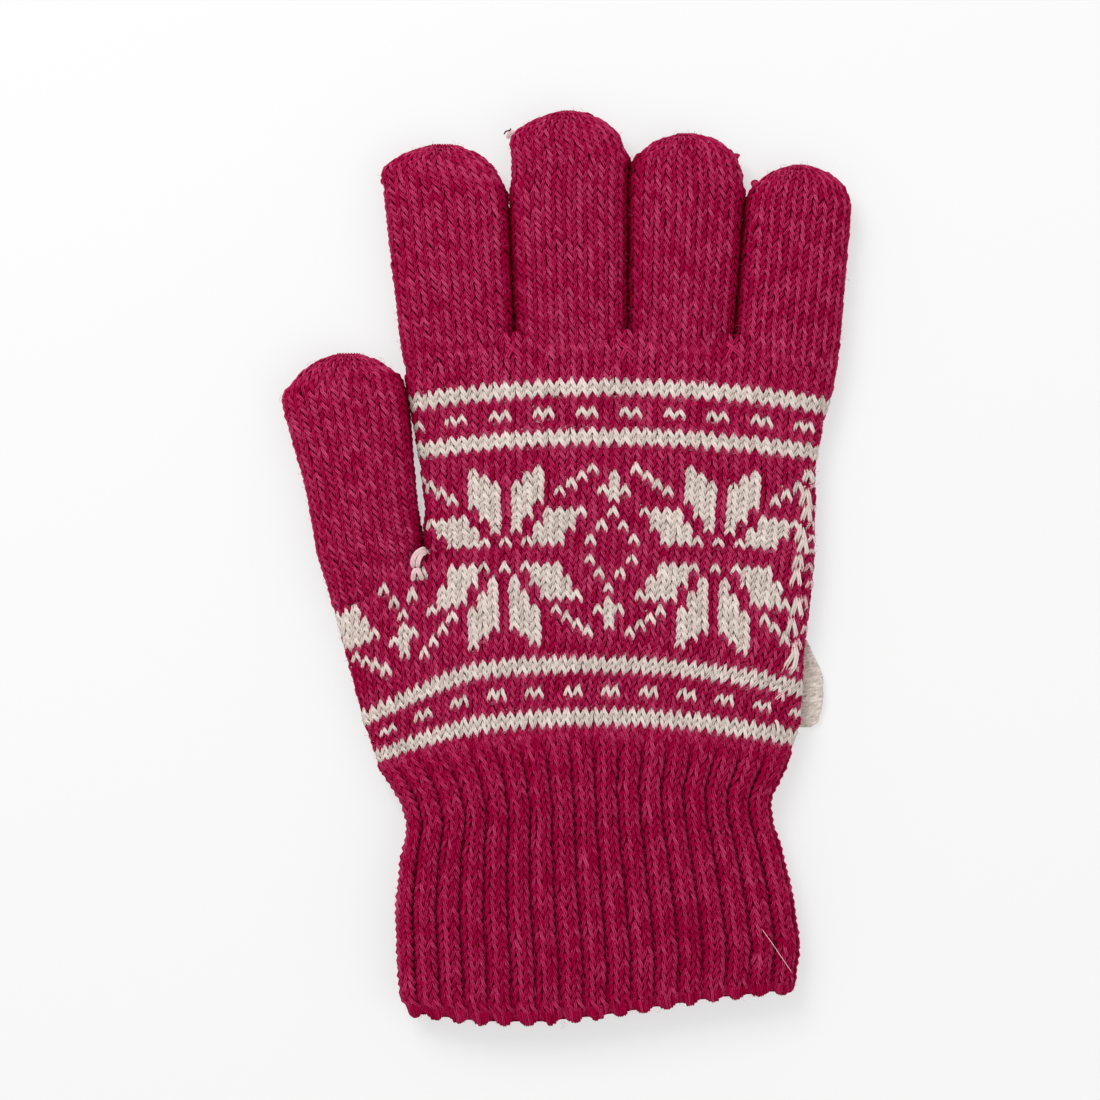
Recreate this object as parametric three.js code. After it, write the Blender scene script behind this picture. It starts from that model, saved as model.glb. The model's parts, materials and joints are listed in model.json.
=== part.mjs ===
// A knitted five-finger stretch glove lying flat, open at the cuff, slightly puffed so a hand fits in.
// Millimetres, +Z up. The glove rests on z = 0, its fingers point along +Y and its thumb lies at -X.
// Every knitted section is a flat hollow tube of its own. A finger is split at its knuckle, and each
// split lies on a fold line in the upper face, so a finger curls up and over the palm.
import * as THREE from 'three';

// ---- Driving dimensions -------------------------------------------------------------------------
const HAND_THICKNESS = 10.4; // outside height of the hand and finger tubes
const WALL = 1.8; // knitted wall of the hand and fingers
const CUFF_THICKNESS = 11.4; // outside height of the ribbed cuff
const CUFF_WALL = 2.2; // ribbed wall of the cuff
const GAP = 0.35; // clearance between neighbouring pieces
const LINING_WALL = 0.5; // layer of loose jacquard floats inside the hand
const ELASTIC = 0.6; // thickness of one elastic thread
const SIDE_STEPS = 4; // facets around each rounded side edge

const FINGER_LINE = 52.5; // fold line y where the four fingers leave the hand
const THUMB_LINE = 4.3; // fold line y where the thumb leaves the hand
const WRIST_LINE = -46.5; // fold line y where the cuff joins the hand
const CUFF_END = -101.2; // y of the seam between cuff and hem, at the hem's lowest place
const HEM_END = -105; // y of the lowest place of the hem
const ELASTIC_COUNT = 5;

// One row for each digit: its fold line, its knuckle, where its tip starts to round and where it
// ends, and the x of its left and right edges at the fold line and at the start of the tip. The
// knot is an angle round the tip, from +X.
const DIGITS = [
  { name: 'thumb', fold: THUMB_LINE, knuckle: 25.5, shoulder: 39.6, tip: 49.2,
    base: [-57.9, -33.9], top: [-63.4, -37.4], knot: 178 },
  { name: 'index', fold: FINGER_LINE, knuckle: 72.5, shoulder: 86.5, tip: 97.3,
    base: [-38.5, -12.4], top: [-42.4, -14.5], knot: 165 },
  { name: 'middle', fold: FINGER_LINE, knuckle: 75.5, shoulder: 95, tip: 105,
    base: [-11.6, 13.6], top: [-12.9, 13.8], knot: 152 },
  { name: 'ring', fold: FINGER_LINE, knuckle: 74, shoulder: 90.6, tip: 99.8,
    base: [14.3, 38.0], top: [14.5, 40.6], knot: 30 },
  { name: 'little', fold: FINGER_LINE, knuckle: 70.5, shoulder: 83.6, tip: 92.5,
    base: [38.8, 62.9], top: [41.4, 65.5], knot: 145 },
];

// Edges of the hand and cuff: [y, left x, right x] from the lower end up.
const LOWER_HAND = [
  [WRIST_LINE, -43.0, 50.2],
  [-36, -46.9, 53.6],
  [-18, -51.6, 54.8],
  [-4, -55.4, 56.5],
  [THUMB_LINE, -57.9, 57.0],
];
const UPPER_HAND = [
  [THUMB_LINE, -32.5, 57.0],
  [14, -32.4, 57.2],
  [24, -33.5, 57.2],
  [34, -35.0, 59.2],
  [41, -36.3, 61.3],
  [FINGER_LINE, -38.4, 63.0],
];
const CUFF = [
  [CUFF_END, -39.0, 53.0],
  [-92, -39.6, 54.0],
  [-80, -39.9, 52.5],
  [-68, -38.7, 49.9],
  [-60, -37.0, 47.6],
  [-54, -38.3, 46.9],
  [WRIST_LINE, -42.7, 50.0],
];

// ---- Materials ----------------------------------------------------------------------------------
function yarn(colour, roughness) {
  return new THREE.MeshStandardMaterial({ color: colour, roughness, metalness: 0 });
}
const CRIMSON = 0x93204a;
const DEEP_CRIMSON = 0x870e37;
const OFF_WHITE = 0xd0bab5;
const RUBBER_WHITE = 0xe6e0da;
const FELT = 0xc9b5a6;

const glove = new THREE.Group();

function addPiece(name, geometry, material) {
  const piece = new THREE.Mesh(geometry, material);
  piece.name = name;
  glove.add(piece);
  return piece;
}

// ---- Flat hollow tubes --------------------------------------------------------------------------
// The hem is a long wave, lowest left of the middle and highest at its right end: how far a place
// on it is raised.
const HEM_WAVE = { lowest: -13, highest: 51, height: 6.6 };
function hemRise(x) {
  const part = (x - HEM_WAVE.lowest) / (HEM_WAVE.highest - HEM_WAVE.lowest);
  return (HEM_WAVE.height * (1 - Math.cos(Math.PI * part))) / 2;
}

// One ring of a flat tube: straight above and below, half round at both sides.
// skew is the part of the hem's rise that this ring follows, from 0 to 1, and flats is the number
// of facets across each straight stretch.
function flatRing({ y, left, right, height, middle, skew = 0, flats = 1 }) {
  const radius = height / 2;
  const side = Math.min(radius, (right - left) / 2);
  const points = [];
  const addPoint = (x, z) => points.push(new THREE.Vector3(x, y + skew * hemRise(x), z));
  const turns = [
    { centre: right - side, start: -Math.PI / 2, across: -1 },
    { centre: left + side, start: Math.PI / 2, across: 1 },
  ];
  for (const { centre, start, across } of turns) {
    for (let step = 0; step <= SIDE_STEPS; step += 1) {
      const angle = start + (Math.PI * step) / SIDE_STEPS;
      addPoint(centre + side * Math.cos(angle), middle + radius * Math.sin(angle));
    }
    const flatLength = right - left - 2 * side;
    for (let step = 1; step < flats; step += 1) {
      addPoint(centre + (across * flatLength * step) / flats, middle - across * radius);
    }
  }
  return points;
}

// Joins rings into a closed skin. Without end points the last ring joins the first, as on an open
// tube with a wall. With end points the skin is closed there, as on a tube with a closed tip.
function skinOf(rings, ends = null) {
  const count = rings[0].length;
  const points = rings.flat();
  const faces = [];
  const joins = ends ? rings.length - 1 : rings.length;
  for (let ring = 0; ring < joins; ring += 1) {
    const here = ring * count;
    const next = ((ring + 1) % rings.length) * count;
    for (let i = 0; i < count; i += 1) {
      const j = (i + 1) % count;
      faces.push(here + i, here + j, next + i, here + j, next + j, next + i);
    }
  }
  if (ends) {
    const last = (rings.length - 1) * count;
    points.push(...ends);
    for (let i = 0; i < count; i += 1) {
      const j = (i + 1) % count;
      faces.push(points.length - 2, j, i, points.length - 1, last + i, last + j);
    }
  }
  const geometry = new THREE.BufferGeometry().setFromPoints(points);
  geometry.setIndex(signedVolume(points, faces) < 0 ? faces.reverse() : faces);
  geometry.computeVertexNormals();
  return geometry;
}

function signedVolume(points, faces) {
  let volume = 0;
  for (let i = 0; i < faces.length; i += 3) {
    const [a, b, c] = [points[faces[i]], points[faces[i + 1]], points[faces[i + 2]]];
    volume += a.dot(new THREE.Vector3().crossVectors(b, c)) / 6;
  }
  return volume;
}

// A row of stations between two heights y, with the edges worked out in between.
function edgesAt(stations, y) {
  const upper = Math.max(1, stations.findIndex((station) => station[0] >= y));
  const [low, high] = [stations[upper - 1], stations[upper]];
  const part = (y - low[0]) / (high[0] - low[0]);
  return [low[1] + part * (high[1] - low[1]), low[2] + part * (high[2] - low[2])];
}

function stationsBetween(stations, start, end) {
  const inner = stations.filter(([y]) => y > start + 1 && y < end - 1);
  return [
    [start, ...edgesAt(stations, start)],
    ...inner,
    [end, ...edgesAt(stations, end)],
  ];
}

// A tube open at both ends. inset moves its outside in from the stated edges.
function openTube(stations, { thickness, wall, inset = 0, flats = 1, skewAt = () => 0 }) {
  const ringsAt = (depth) => stations.map(([y, left, right]) => flatRing({
    y,
    left: left + depth,
    right: right - depth,
    height: thickness - 2 * depth,
    middle: thickness / 2,
    skew: skewAt(y),
    flats,
  }));
  return skinOf([...ringsAt(inset), ...ringsAt(inset + wall).reverse()]);
}

// ---- Fingers and thumb --------------------------------------------------------------------------
const TIP_ANGLES = [0, 30, 52, 70, 82]; // degrees round the tip where a ring is laid

function digitEdges(digit, y) {
  const part = (y - digit.fold) / (digit.shoulder - digit.fold);
  return [
    digit.base[0] + part * (digit.top[0] - digit.base[0]),
    digit.base[1] + part * (digit.top[1] - digit.base[1]),
  ];
}

function proximalTube(digit) {
  const [start, end] = [digit.fold + GAP / 2, digit.knuckle - GAP / 2];
  const stations = [start, end].map((y) => [y, ...digitEdges(digit, y)]);
  return openTube(stations, { thickness: HAND_THICKNESS, wall: WALL });
}

// The outer half of a digit: straight sides, then a round tip closed on both skins.
function distalTube(digit) {
  const [left, right] = digit.top;
  const centre = (left + right) / 2;
  const skinRings = (depth) => {
    const halfWidth = (right - left) / 2 - depth;
    const height = HAND_THICKNESS - 2 * depth;
    const start = digit.knuckle + GAP / 2;
    const [startLeft, startRight] = digitEdges(digit, start);
    const first = flatRing({
      y: start,
      left: startLeft + depth,
      right: startRight - depth,
      height,
      middle: HAND_THICKNESS / 2,
    });
    const rounded = TIP_ANGLES.map((degrees) => {
      const angle = THREE.MathUtils.degToRad(degrees);
      return flatRing({
        y: digit.shoulder + (digit.tip - depth - digit.shoulder) * Math.sin(angle),
        left: centre - halfWidth * Math.cos(angle),
        right: centre + halfWidth * Math.cos(angle),
        height: height * Math.cos(angle) ** 0.6,
        middle: HAND_THICKNESS / 2,
      });
    });
    return [first, ...rounded];
  };
  const peak = (depth) => new THREE.Vector3(centre, digit.tip - depth, HAND_THICKNESS / 2);
  const rings = [...skinRings(0).reverse(), ...skinRings(WALL)];
  return skinOf(rings, [peak(0), peak(WALL)]);
}

// The end of the yarn, drawn tight where the tip was closed: a small nub on the rim of the tip.
const KNOT_RADIUS = 0.8;
function tipKnot(digit) {
  const angle = THREE.MathUtils.degToRad(digit.knot);
  const [left, right] = digit.top;
  const reach = KNOT_RADIUS + GAP;
  const knot = new THREE.IcosahedronGeometry(KNOT_RADIUS, 1);
  knot.scale(1, 1.2, 1);
  knot.translate(
    (left + right) / 2 + ((right - left) / 2 + reach) * Math.cos(angle),
    digit.shoulder + (digit.tip - digit.shoulder + reach) * Math.sin(angle),
    HAND_THICKNESS / 2,
  );
  return knot;
}

for (const digit of DIGITS) {
  addPiece(`${digit.name}_proximal`, proximalTube(digit), yarn(CRIMSON, 0.9));
  addPiece(`${digit.name}_distal`, distalTube(digit), yarn(CRIMSON, 0.9));
  addPiece(`${digit.name}_tip_knot`, tipKnot(digit), yarn(DEEP_CRIMSON, 0.9));
}

// ---- Hand: a five-finger tube below the thumb, a four-finger tube above it -------------------------
const lowerStations = stationsBetween(LOWER_HAND, WRIST_LINE + GAP / 2, THUMB_LINE - GAP / 2);
const upperStations = stationsBetween(UPPER_HAND, THUMB_LINE + GAP / 2, FINGER_LINE - GAP / 2);
const handTube = { thickness: HAND_THICKNESS, wall: WALL };
addPiece('five_finger_body', openTube(lowerStations, handTube), yarn(CRIMSON, 0.9));
addPiece('four_finger_body', openTube(upperStations, handTube), yarn(CRIMSON, 0.9));

// The white yarn passes behind the crimson stitches as a loose inner layer of floats.
const lining = { thickness: HAND_THICKNESS, wall: LINING_WALL, inset: WALL + GAP };
const BAND_END = 43.5; // y where the patterned band ends, towards the fingers
addPiece(
  'jacquard_floats_lower',
  openTube(stationsBetween(LOWER_HAND, WRIST_LINE + 4, THUMB_LINE - GAP), lining),
  yarn(OFF_WHITE, 0.9),
);
addPiece(
  'jacquard_floats_upper',
  openTube(stationsBetween(UPPER_HAND, THUMB_LINE + GAP, BAND_END), lining),
  yarn(OFF_WHITE, 0.9),
);

// ---- Cuff, hem and elastic threads ----------------------------------------------------------------
// The rings of the cuff follow the fold line at the wrist and the curve of the hem at the bottom.
function cuffSkew(y) {
  return Math.max(0, (WRIST_LINE - y) / (WRIST_LINE - HEM_END));
}
const cuffStations = stationsBetween(CUFF, CUFF_END, WRIST_LINE - GAP / 2);
const cuffTube = { thickness: CUFF_THICKNESS, flats: 6, skewAt: cuffSkew };
addPiece(
  'ribbed_cuff',
  openTube(cuffStations, { ...cuffTube, wall: CUFF_WALL }),
  yarn(DEEP_CRIMSON, 0.9),
);

const [hemLeft, hemRight] = [CUFF[0][1], CUFF[0][2]];
addPiece(
  'cuff_overlock_hem',
  openTube(
    [[HEM_END, hemLeft + 0.8, hemRight - 0.8], [CUFF_END - GAP * 1.2, hemLeft, hemRight]],
    { ...cuffTube, wall: CUFF_WALL + 0.2 },
  ),
  yarn(DEEP_CRIMSON, 0.9),
);

for (let i = 0; i < ELASTIC_COUNT; i += 1) {
  const y = WRIST_LINE - 8 - (i * (WRIST_LINE - CUFF_END - 14)) / (ELASTIC_COUNT - 1);
  addPiece(
    `cuff_elastic_${i + 1}`,
    openTube(
      [y, y + 2 * ELASTIC].map((at) => [at, ...edgesAt(CUFF, at)]),
      { ...cuffTube, wall: ELASTIC, inset: CUFF_WALL + GAP },
    ),
    yarn(RUBBER_WHITE, 0.6),
  );
}

// ---- Joins between the tubes ----------------------------------------------------------------------
// Yarn laid on the upper face along a path: a round section with eight sides.
function yarnAlong(points, radius, steps) {
  const path = new THREE.CatmullRomCurve3(points.map(([x, y]) => (
    new THREE.Vector3(x, y, HAND_THICKNESS + GAP + radius))));
  const section = new THREE.Shape();
  section.absarc(0, 0, radius, 0, 2 * Math.PI);
  return new THREE.ExtrudeGeometry(section, { curveSegments: 8, steps, extrudePath: path });
}

const CROTCHES = [
  ['crotch_join_index_middle', -12.2],
  ['crotch_join_middle_ring', 14.0],
  ['crotch_join_ring_little', 38.2],
];
for (const [name, x] of CROTCHES) {
  const route = [[x - 2.2, 51.4], [x, 50.2], [x + 1.6, 48.2]];
  addPiece(name, yarnAlong(route, 0.7, 5), yarn(DEEP_CRIMSON, 0.9));
}

addPiece(
  'thumb_crotch_loop',
  yarnAlong([[-31.6, 3.2], [-33.8, 1.6], [-34.8, -1.4], [-33.4, -4.2]], 0.6, 8),
  yarn(OFF_WHITE, 0.9),
);

// Slack white loops tied off along the little-finger edge, where the pattern ends.
const EDGE_IN = 6.6; // distance of the loops from the right edge
function edgeColumn(stations, start, end) {
  return [start, (start + end) / 2, end].map((y) => [edgesAt(stations, y)[1] - EDGE_IN, y]);
}
addPiece(
  'side_float_column_lower',
  yarnAlong(edgeColumn(LOWER_HAND, -40, 2.6), 0.9, 6),
  yarn(OFF_WHITE, 0.9),
);
addPiece(
  'side_float_column_upper',
  yarnAlong(edgeColumn(UPPER_HAND, 6, 41), 0.9, 6),
  yarn(OFF_WHITE, 0.9),
);

// ---- Side label: a plain felt tab that shows past the edge below the band -------------------------
const LABEL = { low: -36.5, high: -16.8, reach: 58.3, thickness: 0.8, tuck: 1.5 };
const labelShape = new THREE.Shape();
const [labelLow, labelHigh] = [LABEL.low, LABEL.high].map((y) => (
  new THREE.Vector2(edgesAt(LOWER_HAND, y)[1] - LABEL.tuck, y)));
labelShape.moveTo(labelLow.x, labelLow.y);
labelShape.lineTo(labelLow.x + 4.0, labelLow.y + 0.6);
labelShape.quadraticCurveTo(LABEL.reach + 1.4, (LABEL.low + LABEL.high) / 2, labelHigh.x, labelHigh.y);
labelShape.closePath();
addPiece(
  'side_label',
  new THREE.ExtrudeGeometry(labelShape, { depth: LABEL.thickness, bevelEnabled: false, curveSegments: 8 }),
  yarn(FELT, 0.95),
);

export default glove;
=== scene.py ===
"""Looks of the knitted glove: every stitch is a loop of two-strand yarn, laid over the CAD tubes.

A knitted section is a grid of points over its tube: columns are wales, rows are courses. Each
stitch is built in (wale, course, height) and laid over that grid. Lengths are millimetres until a
mesh is made; the frame is in metres.
"""
import copy
import json
import math

import bpy
import numpy as np
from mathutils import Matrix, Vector


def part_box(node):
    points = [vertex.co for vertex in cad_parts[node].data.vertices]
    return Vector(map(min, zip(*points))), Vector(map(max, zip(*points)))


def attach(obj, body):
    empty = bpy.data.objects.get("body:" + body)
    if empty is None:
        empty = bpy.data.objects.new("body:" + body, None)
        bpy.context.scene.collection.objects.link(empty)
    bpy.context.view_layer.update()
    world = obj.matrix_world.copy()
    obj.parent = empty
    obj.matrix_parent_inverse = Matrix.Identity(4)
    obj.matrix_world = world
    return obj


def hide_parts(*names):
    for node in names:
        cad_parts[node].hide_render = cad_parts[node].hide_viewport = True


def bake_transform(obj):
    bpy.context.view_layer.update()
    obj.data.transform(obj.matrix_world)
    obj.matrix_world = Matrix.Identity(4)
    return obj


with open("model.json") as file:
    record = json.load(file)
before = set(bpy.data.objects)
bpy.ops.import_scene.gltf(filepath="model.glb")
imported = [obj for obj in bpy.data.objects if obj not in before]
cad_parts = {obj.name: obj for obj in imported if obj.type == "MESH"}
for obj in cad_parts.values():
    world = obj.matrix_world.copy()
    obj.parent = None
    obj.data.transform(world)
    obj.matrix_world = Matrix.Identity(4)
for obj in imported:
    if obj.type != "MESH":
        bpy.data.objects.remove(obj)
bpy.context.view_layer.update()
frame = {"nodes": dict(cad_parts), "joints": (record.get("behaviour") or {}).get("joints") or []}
MM = 0.001

# ---- Gauge and yarn ----
YARN_SINK = 0.95  # depth of the yarn's centre line under the CAD surface
LEG_LIFT = 0.45  # how far a loop's legs stand in front of its centre line
LOOP_REACH = 1.03  # half height of a loop, in courses
LOOP_BULGE = 0.285  # sideways swing of a loop, in wales
HAND_SKEW = 0.08  # how far a loop leans to the thumb side over half its height, in wales
STRAND_SPREAD = 0.41  # half width of the two strands side by side
STRAND_HEIGHT = 0.36  # half thickness of one strand
SHELL_DEPTH = 0.8  # inner cloth layer, below the yarn's centre line
GAP_FILL = 0.57  # the same layer where two tubes lean on each other: above the centre line
WALE_PITCH, COURSE_PITCH = 2.43, 1.66  # of the hand's knit
CUFF_PITCH = 1.95  # between the cuff's wales
WHITE_BULK, CUFF_BULK = 1.25, 1.22  # yarn's thickness against the crimson of the hand

# Course lines of the hand: the course at the thumb crotch is 0. [course, y at x = COURSE_CENTRE]
COURSE_CENTRE = 8.0
COURSE_LINES = [(-27, -40.9), (-18, -25.3), (-3, -0.2), (1, 5.8), (29, 51.3), (32, 56.2)]
# [course, drop at the left edge, drop at the right edge] of the bowed courses
BOWS = [
    (-27, 4.6, 4.4), (-23, 5.0, 5.0), (-16, 3.2, 6.0), (-10, 1.8, 4.2), (-5, 1.6, 2.4),
    (0, 1.2, 1.6), (5, 3.4, 4.0), (8.5, 3.6, 4.0), (11, 2.6, 3.0), (16, 3.2, 3.6),
    (23, 3.8, 4.4), (29, 3.0, 4.0),
]
# [course, slope of the thumb side, x where it starts, softness of the start]
THUMB_RAMPS = [
    (-27, 0.12, -26, 8), (-23, 0.24, -25, 5), (-16, 0.38, -21, 3), (-9, 0.38, -23.5, 2),
    (-4, 0.38, -24, 2), (0, 0.42, -29, 2.5), (6, 0.0, -36, 2.5), (29, 0.0, -36, 2.5),
]
# [course, x of wale 0, wale pitch] on the upper face of the hand
WALES = [
    (-27, -15.3, 2.10), (-19.5, -15.2, 2.18), (-14, -14.7, 2.34), (-12, -14.5, 2.39),
    (-6, -14.75, 2.40), (-2, -14.4, 2.415), (1, -14.15, 2.43), (10, -14.1, 2.485),
    (19.5, -14.3, 2.50), (29, -14.4, 2.56),
]


def column_of(table, course, index):
    """A table's value at a course, by straight lines between its rows."""
    rows = np.array(table, float)
    return np.interp(course, rows[:, 0], rows[:, index])


def unit(vectors):
    return vectors / np.maximum(np.linalg.norm(vectors, axis=-1, keepdims=True), 1e-9)


def box_mm(name):
    """Low and high corners of a CAD node."""
    return [np.array(corner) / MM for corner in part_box(name)]


# ---- CAD outlines ----
class Outline:
    """Left, right, low and high limits of CAD nodes where a plane y = constant cuts them."""

    def __init__(self, nodes, step=0.25):
        starts, ends = [], []
        for name in nodes:
            mesh = frame["nodes"][name].data
            points = np.array([v.co for v in mesh.vertices]) / MM
            edges = np.array([e.vertices for e in mesh.edges])
            starts.append(points[edges[:, 0]])
            ends.append(points[edges[:, 1]])
        start, end = np.concatenate(starts), np.concatenate(ends)
        swap = start[:, 1] > end[:, 1]
        start[swap], end[swap] = end[swap].copy(), start[swap].copy()
        rows = []
        for y in np.arange(start[:, 1].min() + 0.02, end[:, 1].max() - 0.02, step):
            cut = (start[:, 1] <= y) & (end[:, 1] > y)
            if not cut.any():
                continue
            a, b = start[cut], end[cut]
            share = ((y - a[:, 1]) / np.maximum(b[:, 1] - a[:, 1], 1e-9))[:, None]
            at = a + share * (b - a)
            rows.append((y, at[:, 0].min(), at[:, 0].max(), at[:, 2].min(), at[:, 2].max()))
        rows = np.array(rows)
        self.y, self.limits = rows[:, 0], rows[:, 1:]

    def at(self, y, index):
        return np.interp(y, self.y, self.limits[:, index])


def signed_power(value, power):
    return np.sign(value) * np.abs(value) ** power


# ---- Grids over tubes ----
class Grid:
    """Points and outward normals over a closed tube, by (wale, course)."""

    def __init__(self, first, last, wales, ring, per_wale=2, per_course=2):
        self.wales, self.per_wale, self.per_course = wales, per_wale, per_course
        self.courses = np.arange(first - 2, last + 2 + 1e-6, 1 / per_course)
        columns = np.arange(wales * per_wale) / per_wale
        self.points = np.array([ring(course, columns) for course in self.courses])
        across = np.roll(self.points, -1, 1) - np.roll(self.points, 1, 1)
        along = np.gradient(self.points, axis=0)
        self.normals = unit(np.cross(across, along))
        self.pitch = np.linalg.norm(across, axis=2) * per_wale / 2
        self.gap = np.zeros(self.pitch.shape)  # how deep a point lies in a gap between two tubes: painted shade and a raised cloth layer follow it

    def shade_gaps(self, outline, neighbours):
        """Note the sides that lean on a neighbour, at the left (0) and at the right (1), for painted
        shade there.

        Cloth that faces down counts as steep too, so undersides beside a neighbour are noted as well.
        """
        steep = np.clip((0.9 - self.normals[..., 2]) / 0.6, 0, 1)
        x, y = self.points[..., 0], self.points[..., 1]
        for index, neighbour in enumerate(neighbours):
            if neighbour is None:
                continue
            near = closeness(y, outline.at(y, index), index, neighbour)
            side = x > (outline.at(y, 0) + outline.at(y, 1)) / 2
            self.gap = np.maximum(self.gap, steep * near * (side == bool(index)))

    def sample(self, wale, course, values):
        column = np.mod(wale, self.wales) * self.per_wale
        row = np.clip((course - self.courses[0]) * self.per_course, 0, len(self.courses) - 1.001)
        i, j = row.astype(int), np.floor(column).astype(int)
        u, v = (row - i)[..., None], (column - j)[..., None]
        width = self.points.shape[1]
        j, next_j = j % width, (j + 1) % width
        return (
            values[i, j] * (1 - u) * (1 - v) + values[i, next_j] * (1 - u) * v
            + values[i + 1, j] * u * (1 - v) + values[i + 1, next_j] * u * v
        )

    def place(self, wale, course, height):
        """Points and normals at a height over the tube."""
        normal = unit(self.sample(wale, course, self.normals))
        return self.sample(wale, course, self.points) + normal * height[..., None], normal

    def shell(self, first, last, depth, closed_tip=False):
        """Vertices, quads and tone of the cloth layer below the yarn, between two courses; the tone is
        painted shade, darkest deep in a gap.
        """
        rows = (self.courses >= first - 1e-6) & (self.courses <= last + 1e-6)
        depth = depth * (1 - self.gap) - GAP_FILL * self.gap
        points = (self.points - self.normals * depth[..., None])[rows]
        count, width = points.shape[:2]
        index = np.arange(count * width).reshape(count, width)
        right = np.roll(index, -1, 1)
        quads = np.stack([index[:-1], right[:-1], right[1:], index[1:]], -1).reshape(-1, 4)
        # painted shade: the cloth is darker the deeper it lies in a gap
        vertices, tone = points.reshape(-1, 3), -5 * self.gap[rows].ravel()
        if closed_tip:
            centre = points[-1].mean(0)
            vertices, tone = np.vstack([vertices, centre]), np.append(tone, 0)
            top = index[-1]
            cap = np.stack([top, np.roll(top, -1), np.full(width, len(vertices) - 1)], -1)
            cap = np.hstack([cap, cap[:, -1:]])
            quads = np.vstack([quads, cap])
        return vertices, quads, tone


def arc_positions(points, wanted):
    """Points at given distances along a closed line of points."""
    closed = np.vstack([points, points[:1]])
    steps = np.linalg.norm(np.diff(closed, axis=0), axis=1)
    distance = np.concatenate([[0], np.cumsum(steps)])
    wanted = np.mod(wanted, distance[-1])
    return np.stack([np.interp(wanted, distance, closed[:, k]) for k in range(3)], -1)


THETA = np.linspace(0, 2 * np.pi, 720, endpoint=False)


def section(left, right, low, high, side_power, height_of):
    """A flat rounded ring, from the leftmost point over the upper face to the right and back."""
    half_width = max((right - left) / 2 - YARN_SINK * 0.6, 0.05)
    half_height = max((high - low) / 2 - YARN_SINK, 0.05)
    angle = np.pi - THETA
    x = (left + right) / 2 + half_width * signed_power(np.cos(angle), 2 / side_power)
    z = (low + high) / 2 + half_height * signed_power(np.sin(angle), 2 / 2.3)
    half = len(x) // 2
    even = []
    for part in (slice(0, half + 1), slice(half, 2 * half + 1)):
        px, pz = np.append(x, x[0])[part], np.append(z, z[0])[part]
        distance = np.concatenate([[0], np.cumsum(np.hypot(np.diff(px), np.diff(pz)))])
        wanted = np.linspace(0, distance[-1], half, endpoint=False)
        even.append(np.stack([np.interp(wanted, distance, px), np.interp(wanted, distance, pz)], -1))
    even = np.concatenate(even)
    return np.stack([even[:, 0], height_of(even[:, 0]), even[:, 1]], -1)


def loop_length(points):
    return np.linalg.norm(points - np.roll(points, -1, 0), axis=1)


# ---- Hand grids ----
hand_low = Outline(["five_finger_body"])
hand_high = Outline(["four_finger_body"])
cuff_outline = Outline(["ribbed_cuff", "cuff_overlock_hem"])


def course_height(course, x, left, right):
    """y of a hand course at x: bowed towards both sides, and steeper below the thumb."""
    base = column_of(COURSE_LINES, course, 1)
    drop_left, drop_right = column_of(BOWS, course, 1), column_of(BOWS, course, 2)
    side = np.where(x < COURSE_CENTRE, (COURSE_CENTRE - x) / (COURSE_CENTRE - left),
                    (x - COURSE_CENTRE) / (right - COURSE_CENTRE))
    bow = np.where(x < COURSE_CENTRE, drop_left, drop_right) * side**2
    slope, start, soft = (column_of(THUMB_RAMPS, course, k) for k in (1, 2, 3))
    ramp = slope * soft * np.logaddexp(0, (start - x) / soft)
    return base - bow - ramp


def hand_ring(outline, total, course, columns):
    left, right = -40.0, 55.0
    for _ in range(5):
        y_left = course_height(course, np.array([left]), left, right)[0]
        y_right = course_height(course, np.array([right]), left, right)[0]
        left, right = outline.at(y_left, 0), outline.at(y_right, 1)
    if outline is hand_high:
        y_left = course_height(course, np.array([left]), left, right)[0]
        left = lean_out(y_left, left, 0, OUTLINES["thumb"])
    low, high = HAND_LOW, HAND_HIGH
    points = section(left, right, low, high, 7.0,
                     lambda x: course_height(course, x, left, right))
    steps = loop_length(points)
    distance = np.concatenate([[0], np.cumsum(steps)[:-1]])
    top = len(points) // 2
    pitch = column_of(WALES, course, 2)
    anchor = np.interp(column_of(WALES, course, 1) - pitch / 2, points[:top, 0], distance[:top])
    top_length, whole = distance[top], steps.sum()
    first_wale, last_wale = -anchor / pitch, (top_length - anchor) / pitch
    rest = total - (last_wale - first_wale)
    wale = np.mod(columns - first_wale, total)
    span = last_wale - first_wale
    along = np.where(wale <= span, wale * pitch,
                     top_length + (wale - span) * (whole - top_length) / rest)
    return arc_positions(points, along)


HAND_LOW, HAND_HIGH = (c[2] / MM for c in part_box("four_finger_body"))
CUFF_LOW, CUFF_HIGH = (c[2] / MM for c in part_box("ribbed_cuff"))
LOWER_WALES, UPPER_WALES = 100, 80
LOWER_FIRST, UPPER_LAST = -26, 29  # course lines: each course n lies between n and n + 1

# ---- Colour chart of the patterned band ----
# Level 0 is the course next to the thumb crotch; levels count away from it, up and down.
# Half of a snowflake: wales from its centre to spans of levels. Its lower half is one level out.
SNOWFLAKE = {
    0: [(1, 2)], 1: [(3, 10)], 2: [(1, 2), (5, 11)], 3: [(1, 4), (7, 12)], 4: [(1, 6)],
    5: [(1, 6)], 6: [(3, 6)], 7: [(5, 6)],
}
# Between the snowflakes: a line of single stitches, a lattice cell and a small cross.
BETWEEN = {5: {8}, 6: {9}, 7: {10}, 8: {1, 11}, 9: {3, 8}, 10: {5, 7, 8, 9, 10}}
PATTERN_REPEAT = 20
STRIPES = [(15, 17), (22, 24)]
DOT_LEVEL = 19
EDGE_ZONE = (28, 34)  # wales at the little-finger edge with no snowflake stitches


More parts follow.
